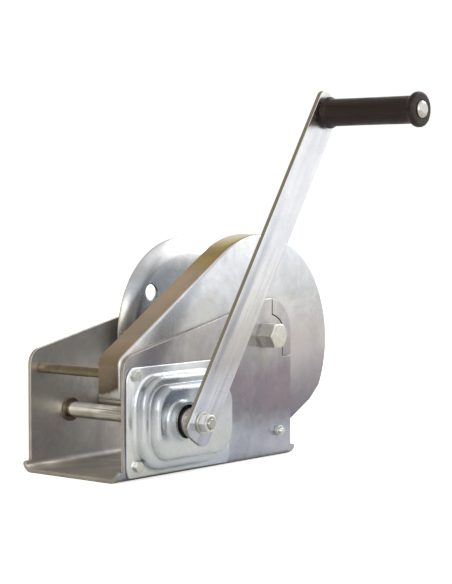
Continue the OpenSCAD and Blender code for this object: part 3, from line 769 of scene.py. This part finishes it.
fold, guard_rings = 3.4, []
for k in range(6):
    a = math.pi / 2.0 * k / 5.0
    guard_rings.append(guard_ring(GUARD_FACE - fold + fold * math.cos(a), fold - fold * math.sin(a)))
guard_rings += [guard_ring(50.0, 0.0), guard_ring(42.0, 0.0), guard_ring(GUARD_RIM + 0.5, 0.0),
                guard_ring(GUARD_RIM, 0.5), guard_ring(GUARD_RIM, 1.5), guard_ring(GUARD_RIM + 0.5, 2.0),
                guard_ring(50.0, 2.0), guard_ring(GUARD_FACE - fold, 2.0),
                guard_ring(GUARD_FACE - 2.4, 2.4), guard_ring(GUARD_FACE - 2.0, fold)]
# The guard's colour is painted light and shade: its face darkens towards the bottom and turns white towards
# the top; on the rim a painted highlight on the turned-under front, a painted dark line just above it, then
# browns and a golden band that are partly the rim's own warm tint and partly painted reflection.
guard_zinc = plated(
    "zinc_guard", (1.0, 1.0, 1.0), (0.74, 0.76, 0.80), (0.86, 0.78, 0.74), 0.50, 0.24, 20.0,
    painted_tones=((12, (0.27, 0.25, 0.33)), (34, (0.38, 0.36, 0.43)), (84, (0.70, 0.69, 0.73)),
           (125, (0.80, 0.78, 0.76)), (152, (0.76, 0.77, 0.76)), (190, (0.88, 0.90, 0.92)),
           (225, (1.0, 1.0, 1.0))),
    edge=((100, (1.0, 1.0, 0.98)), (105, (0.60, 0.58, 0.54)), (108, (0.14, 0.11, 0.08)),
          (132, (0.42, 0.34, 0.25)), (148, (0.60, 0.48, 0.36)), (196, (0.74, 0.59, 0.45)),
          (206, (0.66, 0.50, 0.20)), (220, (0.50, 0.38, 0.14)), (230, (0.36, 0.31, 0.23))),
    worn=0.12, drift=0.012, rearward=0.15)
guard = skin("gear_guard_pressing", guard_rings, guard_zinc, "base", crease=35.0)
shape = bmesh.new()
shape.from_mesh(guard.data)
bmesh.ops.holes_fill(shape, edges=[e for e in shape.edges if e.is_boundary], sides=0)
bmesh.ops.recalc_face_normals(shape, faces=shape.faces)
bmesh.ops.triangulate(shape, faces=[f for f in shape.faces if len(f.verts) > 4], ngon_method="EAR_CLIP")
for face in shape.faces:
    face.smooth = True
shape.to_mesh(guard.data)
shape.free()
guard.data.set_sharp_from_angle(angle=math.radians(35.0))
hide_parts("gear_guard")

# ---------------------------------------------------------------- brake cover
# A deep pressing over the brake: a flat flange, a lower and an upper step with
# rolled edges, and a drawn neck round the hub. Four screws hold it.
# The cover's colour by height is painted light and shade: bright and bluish low down, painted shade over its
# upper part; the front of the flange is left lighter, as painted light.
cover_zinc = plated(
    "zinc_cover", (0.97, 0.98, 1.0), (0.80, 0.83, 0.86), (0.90, 0.88, 0.82), 0.22, 0.25, 26.0,
    painted_tones=((6, (0.76, 0.82, 0.92)), (30, (0.92, 0.98, 1.0)), (60, (0.82, 0.85, 0.88)),
           (84, (0.42, 0.44, 0.47)), (100, (0.56, 0.56, 0.53))),
    inside=(67.5, 69.5, (0.98, 1.0, 1.0), -75, 15), drift=0.012, worn=0.1, straw=0.10)
PLATE_OUT, CORNER, SIDE = 65.0, 12, 8


def cover_ring(x, inset, right, r):
    """A rounded rectangle set in from the lower step of the cover; the rear side has its own inset."""
    y0, y1, z0, z1 = -114.5 + inset, 11.0 - right, 10.0 + inset, 100.0 - inset
    corners = [(y1 - r, z1 - r, 0.0), (y0 + r, z1 - r, 90.0),
               (y0 + r, z0 + r, 180.0), (y1 - r, z0 + r, 270.0)]
    points = []
    for k, (y, z, a) in enumerate(corners):
        points += arc_points(y, z, r, math.radians(a), math.radians(a + 90.0), CORNER)
        yn, zn, an = corners[(k + 1) % 4]
        end = (yn + r * math.cos(math.radians(an)), zn + r * math.sin(math.radians(an)))
        last = points[-1]
        points += [(last[0] + (end[0] - last[0]) * i / SIDE, last[1] + (end[1] - last[1]) * i / SIDE)
                   for i in range(1, SIDE)]
    return [(x, y, z) for y, z in points]


def neck_ring(x, r):
    """A circle round the hub with its points in line with those of the cover's upper step."""
    out = []
    for _, y, z in cover_ring(0.0, 20.8, 10.8, 12.5):
        a = math.atan2(z - SHAFT_Z, y - SHAFT_Y)
        out.append((x, SHAFT_Y + r * math.cos(a), SHAFT_Z + r * math.sin(a)))
    return out


def flange_ring(x, inset):
    """The outer edge of the cover's flange."""
    front, low, high = -126.2 + inset, 4.0 + inset, 109.5 - inset
    wide = cover_ring(x, -11.7 + inset, -15.0 + inset, 16.0 - inset)
    return [(px, max(front, py), min(high, max(low, pz))) for px, py, pz in wide]


cover = [flange_ring(PLATE_OUT, 0.4), flange_ring(PLATE_OUT + 0.6, 0.0), flange_ring(PLATE_OUT + 1.3, 0.0),
         flange_ring(PLATE_OUT + 1.8, 0.3), flange_ring(PLATE_OUT + 2.0, 0.9)]
for k in range(6):
    a = math.pi / 2.0 * k / 5.0
    d = -3.5 + 3.5 * math.sin(a)
    cover.append(cover_ring(PLATE_OUT + 2.0 + 3.5 - 3.5 * math.cos(a), d, d * 0.25, 29.0 - d))
STEP_1, STEP_2 = PLATE_OUT + 12.6, PLATE_OUT + 23.0
for k in range(7):
    a = math.pi / 2.0 * k / 6.0
    d = 5.5 - 5.5 * math.cos(a)
    cover.append(cover_ring(STEP_1 - 5.0 + 5.0 * math.sin(a), d, d * 0.2, 29.0 - d * 0.74))
for k in range(1, 6):
    a = math.pi / 2.0 * k / 5.0
    d = 7.2 + 1.6 * math.sin(a)
    cover.append(cover_ring(STEP_1 + 1.6 - 1.6 * math.cos(a), d, d * 0.2, 29.0 - d * 0.74))
for k in range(11):
    a = math.pi / 2.0 * k / 10.0
    d = 1.0 - math.cos(a)
    cover.append(cover_ring(STEP_2 - 0.6 - 8.0 + 8.0 * math.sin(a),
                            8.8 + 7.2 * d, 1.8 + 5.2 * d, 22.5 - 4.5 * d))
cover.append(cover_ring(STEP_2 - 0.1, 20.8, 10.8, 12.5))
for k in range(6):
    a = math.pi / 2.0 * k / 5.0
    cover.append(neck_ring(STEP_2 + 4.0 - 4.0 * math.cos(a), 22.5 - 4.0 * math.sin(a)))
cover += [neck_ring(x, r) for x, r in (
    (96.4, 18.5), (97.1, 19.0), (97.8, 19.3), (98.5, 19.1), (98.8, 18.4), (98.7, 17.2), (98.2, 16.5),
    (STEP_2 - 2.0, 16.5))]
cover += [cover_ring(STEP_2 - 2.4, 21.0, 11.0, 12.4),
          cover_ring(STEP_2 - 8.0, 11.5, 4.0, 20.0), cover_ring(STEP_1 - 2.0, 11.4, 3.6, 20.5),
          cover_ring(STEP_1 - 2.0, 6.0, 3.0, 24.6), cover_ring(STEP_1 - 5.5, 2.0, 2.0, 27.0),
          cover_ring(PLATE_OUT, 2.0, 2.0, 27.0)]
brake_cover = skin(
    "brake_cover_pressing", cover, cover_zinc, "base", loop=True, crease=50.0)
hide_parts("brake_cover")

COVER_SCREWS = [(-114.5, 102.0, 50.0), (-112.3, 14.8, 58.5), (17.5, 30.0, 58.5), (17.5, 84.0, 58.5)]
cover_screws = []
for k, (y, z, tip) in enumerate(COVER_SCREWS):
    rings = [ring(71.0, 0, y, z), ring(71.0, 3.0, y, z)]
    rings += hex_rings(71.0, 67.0, 10.0, y, z, True, False)
    rings += [ring(67.0, 3.0, y, z), ring(63.0, 3.0, y, z)]
    rings += thread_rings(62.9, tip, 3.0, 1.0, y, z) + [ring(tip, 0, y, z)]
    screw = skin("cover_screw_%d" % (k + 1), rings, fastener_zinc, "base")
    cover_screws.append(screw)
with bpy.context.temp_override(active_object=cover_screws[0], selected_editable_objects=cover_screws,
                               selected_objects=cover_screws):
    bpy.ops.object.join()
cover_screws[0].name = "cover_screw_set"
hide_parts("cover_screws")

# ---------------------------------------------------------------- rear bolt
# A small bolt and nut that clamp the guard's face to the plate at the rear.
REAR_Y, REAR_Z = 105.5, 28.0
clamp = [ring(x, r, REAR_Y, REAR_Z) for x, r in (
    (56.0, 0), (56.0, 3.3), (56.4, 4.1), (57.2, 4.5), (59.0, 4.5), (59.0, 3.0))]
clamp += thread_rings(66.5, 73.5, 3.0, 1.0, REAR_Y, REAR_Z) + [ring(73.5, 0, REAR_Y, REAR_Z)]
clamp_bolt = skin("rear_clamp_bolt", clamp, fastener_zinc, "base")
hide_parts("rear_bolt")
nut("rear_clamp_nut", 65.0, 70.0, 10.0, 3.05, REAR_Y, REAR_Z, "base", "rear_nut", False, True)

# ---------------------------------------------------------------- crank arm
# A flat bar, 36 by 5 mm, sheared with clipped round corners, drilled for the
# shaft and the grip bolt, plated; a washer and nut hold it on the shaft.
ARM_ANGLE, ARM_LENGTH = 57.05, 358.5
# The arm's colour by height is painted light and shade: painted shade between about 100 and 150 mm, bright
# above; its edges take a dark warm painted reflection.
arm_zinc = plated(
    "zinc_arm", (1.0, 1.0, 1.0), (0.90, 0.91, 0.94), (0.88, 0.90, 0.97), 0.30, 0.24, 12.0,
    painted_tones=((50, (0.72, 0.76, 0.86)), (82, (0.88, 0.91, 1.0)), (110, (0.66, 0.65, 0.66)),
           (140, (0.76, 0.74, 0.71)), (170, (0.98, 1.0, 1.0)), (198, (1.0, 1.0, 1.0)),
           (228, (0.92, 0.95, 0.98)), (260, (1.0, 1.0, 1.0))),
    edge=((0, (0.46, 0.43, 0.34)), (390, (0.46, 0.43, 0.34))), drift=0.012, worn=0.15,
    streaks=(ARM_ANGLE, (0.60, 0.61, 0.68)))
dress("crank_arm", arm_zinc, 0.7, 30.0)
dress("arm_washer", fastener_zinc, 0.3)
nut("arm_shaft_nut", 117.5, 126.5, 16.0, 5.05, SHAFT_Y, SHAFT_Z, "crank", "arm_nut", False, True)

# ---------------------------------------------------------------- grip
# A moulded hard plastic sleeve with a collar at each end that turns on a round
# headed bolt; a washer keeps it off the arm and a nut clamps the bolt behind.
GRIP_X, GRIP_LEN = 117.8, 115.0
GRIP_Y = SHAFT_Y + ARM_LENGTH * math.cos(math.radians(ARM_ANGLE))
GRIP_Z = SHAFT_Z + ARM_LENGTH * math.sin(math.radians(ARM_ANGLE))
grip_plastic = bpy.data.materials.new("grip_plastic")
grip_plastic.use_nodes = True
gt = grip_plastic.node_tree
grip_shader = gt.nodes["Principled BSDF"]
grip_place = gt.nodes.new("ShaderNodeTexCoord").outputs["Object"]
grip_lay = gt.nodes.new("ShaderNodeMapping")
grip_lay.inputs["Scale"].default_value = (6.0, 160.0, 160.0)
gt.links.new(grip_place, grip_lay.inputs["Vector"])
streaks = spread(gt, noise(gt, grip_lay.outputs["Vector"], 1.0, 3.0), 0.35, 0.7)
rubbed = spread(gt, noise(gt, grip_place, 45.0, 4.0, 0.6, 0.5), 0.40, 0.70)
grip_colour = blend_colour(gt, streaks, (0.018, 0.009, 0.007), (0.036, 0.021, 0.017))
gt.links.new(grip_colour, grip_shader.inputs["Base Color"])
grip_shader.inputs["Specular IOR Level"].default_value = 0.35
gt.links.new(spread(gt, rubbed, 0.0, 1.0, 0.36, 0.50), grip_shader.inputs["Roughness"])
grip_bump = gt.nodes.new("ShaderNodeBump")
grip_bump.inputs["Distance"].default_value = 0.00006
gt.links.new(sums(gt, "ADD", streaks, noise(gt, grip_place, 650.0)), grip_bump.inputs["Height"])
gt.links.new(grip_bump.outputs["Normal"], grip_shader.inputs["Normal"])
sleeve = [(0.0, 5.1), (0.0, 14.2), (0.5, 15.4), (1.6, 16.2), (3.6, 16.2), (4.8, 15.6), (6.4, 14.4),
          (8.5, 14.0), (GRIP_LEN / 2, 13.85),
          (GRIP_LEN - 11.0, 14.0), (GRIP_LEN - 8.6, 14.5), (GRIP_LEN - 7.2, 15.8),
          (GRIP_LEN - 6.2, 17.1), (GRIP_LEN - 5.0, 17.6), (GRIP_LEN - 2.2, 17.6), (GRIP_LEN - 0.9, 17.1),
          (GRIP_LEN - 0.2, 16.0), (GRIP_LEN, 14.6), (GRIP_LEN, 9.6), (GRIP_LEN - 0.6, 9.0),
          (GRIP_LEN - 0.6, 5.1)]
grip = skin("grip_sleeve_moulding", [ring(GRIP_X + x, r, GRIP_Y, GRIP_Z) for x, r in sleeve],
            grip_plastic, "grip", loop=True, crease=45.0)
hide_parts("grip_sleeve")
head_x = GRIP_X + GRIP_LEN
head = [ring(102.0, 0, GRIP_Y, GRIP_Z)]
head += reversed(thread_rings(110.0, 102.0, 5.0, 1.5, GRIP_Y, GRIP_Z))
head += [ring(x, r, GRIP_Y, GRIP_Z) for x, r in (
    (110.5, 5.0), (head_x + 0.3, 5.0), (head_x + 0.3, 8.5), (head_x + 0.7, 8.7), (head_x + 1.4, 8.4),
    (head_x + 2.4, 7.4), (head_x + 3.1, 6.2), (head_x + 3.4, 4.4), (head_x + 3.5, 2.4), (head_x + 3.5, 0))]
grip_bolt = skin("grip_round_bolt", head, shaft_steel, "crank", crease=40.0)
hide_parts("grip_bolt")
dress("grip_washer", fastener_zinc, 0.3)
nut("grip_back_nut", 103.0, 111.0, 16.0, 5.05, GRIP_Y, GRIP_Z, "crank", "grip_nut")
